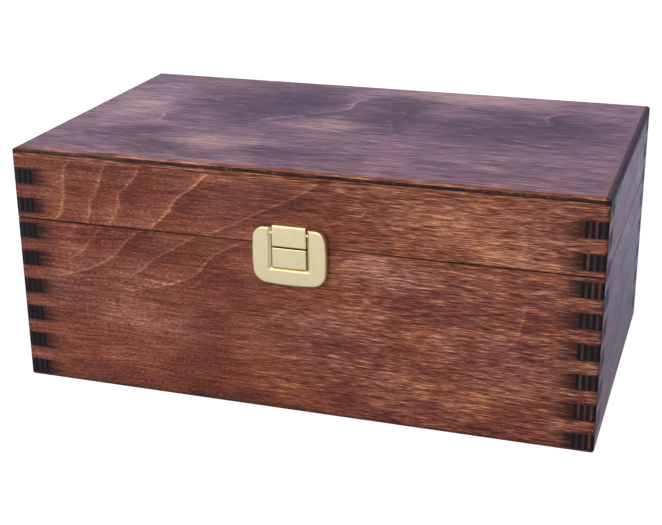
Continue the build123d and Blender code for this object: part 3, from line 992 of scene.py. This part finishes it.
WORLD_SEEN = (1.0, 1.0, 1.0)
WORLD_MIRRORED_AHEAD = (0.88, 0.86, 0.83)
WORLD_MIRRORED_BEHIND = (0.61, 0.66, 1.04)
WORLD_MIRRORED_ABOVE = (2.2, 2.1, 1.9)
WORLD_MIRRORED_RIGHT = (0.16, 0.17, 0.22)
WORLD_AHEAD_TO_BEHIND = (-0.6, 0.6)
WORLD_UPWARD = (0.4, 0.75)
WORLD_NOT_BEHIND = (-0.3, 0.15)
WORLD_TO_RIGHT = (0.3, 0.9)
AMBIENT_AHEAD = (1.3, 1.3, 1.3)
AMBIENT_BEHIND = (0.12, 0.12, 0.13)
AMBIENT_AHEAD_TO_BEHIND = (-0.8, 0.4)

# A lamp's place, its size and its watts
LAMP_AIM = (0.0, 0.0, 0.05)
FRONT_LAMP = ((-0.9, -2.6, 0.9), 2.6, 34.0)
TOP_LAMP = ((0.6, 0.4, 2.6), 2.4, 2.0)
BACK_LAMP = ((0.7, 2.5, 0.35), 2.0, 32.0)

BLACK = (0.0, 0.0, 0.0)


def seen_by(tree, camera, mirror, other):
    """A colour by the kind of ray that meets it: the camera's, a mirrored one or a diffuse one."""
    rays = tree.node("ShaderNodeLightPath").outputs
    shiny = tree.largest(rays["Is Glossy Ray"], rays["Is Transmission Ray"])
    colour = tree.mix_colour(shiny, other, mirror)
    return tree.mix_colour(rays["Is Camera Ray"], colour, camera)


def floor_mirrored(tree):
    """What the varnish and the brass mirror of the floor."""
    rightward, backward, _ = tree.split(tree.node("ShaderNodeNewGeometry").outputs["Position"])
    past_box = tree.span(backward, *FLOOR_UNDER_TO_BEHIND)
    behind = tree.mix_colour(past_box, FLOOR_MIRRORED_UNDER, FLOOR_MIRRORED_BEHIND)
    beside = tree.span(backward, *FLOOR_AHEAD_TO_UNDER)
    mirrored = tree.mix_colour(beside, FLOOR_MIRRORED_AHEAD, behind)
    return tree.mix_colour(tree.span(rightward, *FLOOR_TO_RIGHT), mirrored, FLOOR_MIRRORED_RIGHT)


def make_floor():
    bpy.ops.mesh.primitive_plane_add(size=FLOOR_SIZE, location=(0.0, 0.0, -FLOOR_DROP))
    floor = bpy.context.active_object
    floor.name = "floor"
    material, tree, shader = new_material("floor")
    nodes = material.node_tree.nodes
    nodes.remove(shader)
    light = seen_by(tree, FLOOR_SEEN, floor_mirrored(tree), BLACK)
    glow = tree.node("ShaderNodeEmission", {"Color": light, "Strength": 1.0})
    paint = tree.node("ShaderNodeBsdfDiffuse", {"Color": FLOOR_PAINT})
    both = tree.node("ShaderNodeAddShader", {0: glow.outputs[0], 1: paint.outputs[0]})
    tree.feed(nodes["Material Output"].inputs["Surface"], both.outputs[0])
    floor.data.materials.append(material)


def world_mirrored(tree, rightward, backward, upward):
    """What the varnish and the brass mirror of the studio around the floor."""
    to_behind = tree.span(backward, *WORLD_AHEAD_TO_BEHIND)
    around = tree.mix_colour(to_behind, WORLD_MIRRORED_AHEAD, WORLD_MIRRORED_BEHIND)
    not_behind = tree.span(backward, *WORLD_NOT_BEHIND, 1.0, 0.0)
    overhead = tree.times(tree.span(upward, *WORLD_UPWARD), not_behind)
    around = tree.mix_colour(overhead, around, WORLD_MIRRORED_ABOVE)
    return tree.mix_colour(tree.span(rightward, *WORLD_TO_RIGHT), around, WORLD_MIRRORED_RIGHT)


def make_world():
    world = bpy.data.worlds.new("studio")
    bpy.context.scene.world = world
    world.use_nodes = True
    tree = Tree(world.node_tree)
    direction = tree.split(tree.node("ShaderNodeTexCoord").outputs["Generated"])
    to_behind = tree.span(direction[1], *AMBIENT_AHEAD_TO_BEHIND)
    ambient = tree.mix_colour(to_behind, AMBIENT_AHEAD, AMBIENT_BEHIND)
    light = seen_by(tree, WORLD_SEEN, world_mirrored(tree, *direction), ambient)
    tree.feed(world.node_tree.nodes["Background"].inputs["Color"], light)


def soft_lamp(name, place, size, power):
    data = bpy.data.lights.new(name, "AREA")
    data.shape = "SQUARE"
    data.size = size
    data.energy = power
    lamp = bpy.data.objects.new(name, data)
    bpy.context.scene.collection.objects.link(lamp)
    lamp.location = place
    lamp.rotation_euler = (Vector(LAMP_AIM) - Vector(place)).to_track_quat("-Z", "Y").to_euler()
    return lamp


def make_lamps():
    """Soft lamps on three sides. The front and back ones aren't mirrored, the studio is instead."""
    front = soft_lamp("front_softbox", *FRONT_LAMP)
    front.visible_glossy = False
    soft_lamp("top_softbox", *TOP_LAMP)
    fill = soft_lamp("back_softbox", *BACK_LAMP)
    fill.visible_glossy = False


def make_camera():
    data = bpy.data.cameras.new("camera")
    data.lens = CAMERA_LENS
    data.sensor_width = SENSOR_WIDTH
    data.clip_start = NEAREST_SEEN
    camera = bpy.data.objects.new("camera", data)
    bpy.context.scene.collection.objects.link(camera)
    aim = (CAMERA_AIM - CAMERA_PLACE).to_track_quat("-Z", "Y").to_matrix()
    turned = aim @ Matrix.Rotation(CAMERA_ROLL, 3, "Z")
    camera.matrix_world = Matrix.Translation(CAMERA_PLACE) @ turned.to_4x4()
    bpy.context.scene.camera = camera


dress_wood()
dress_metal()
make_floor()
make_world()
make_lamps()
make_camera()
bpy.context.scene.view_settings.view_transform = "Standard"
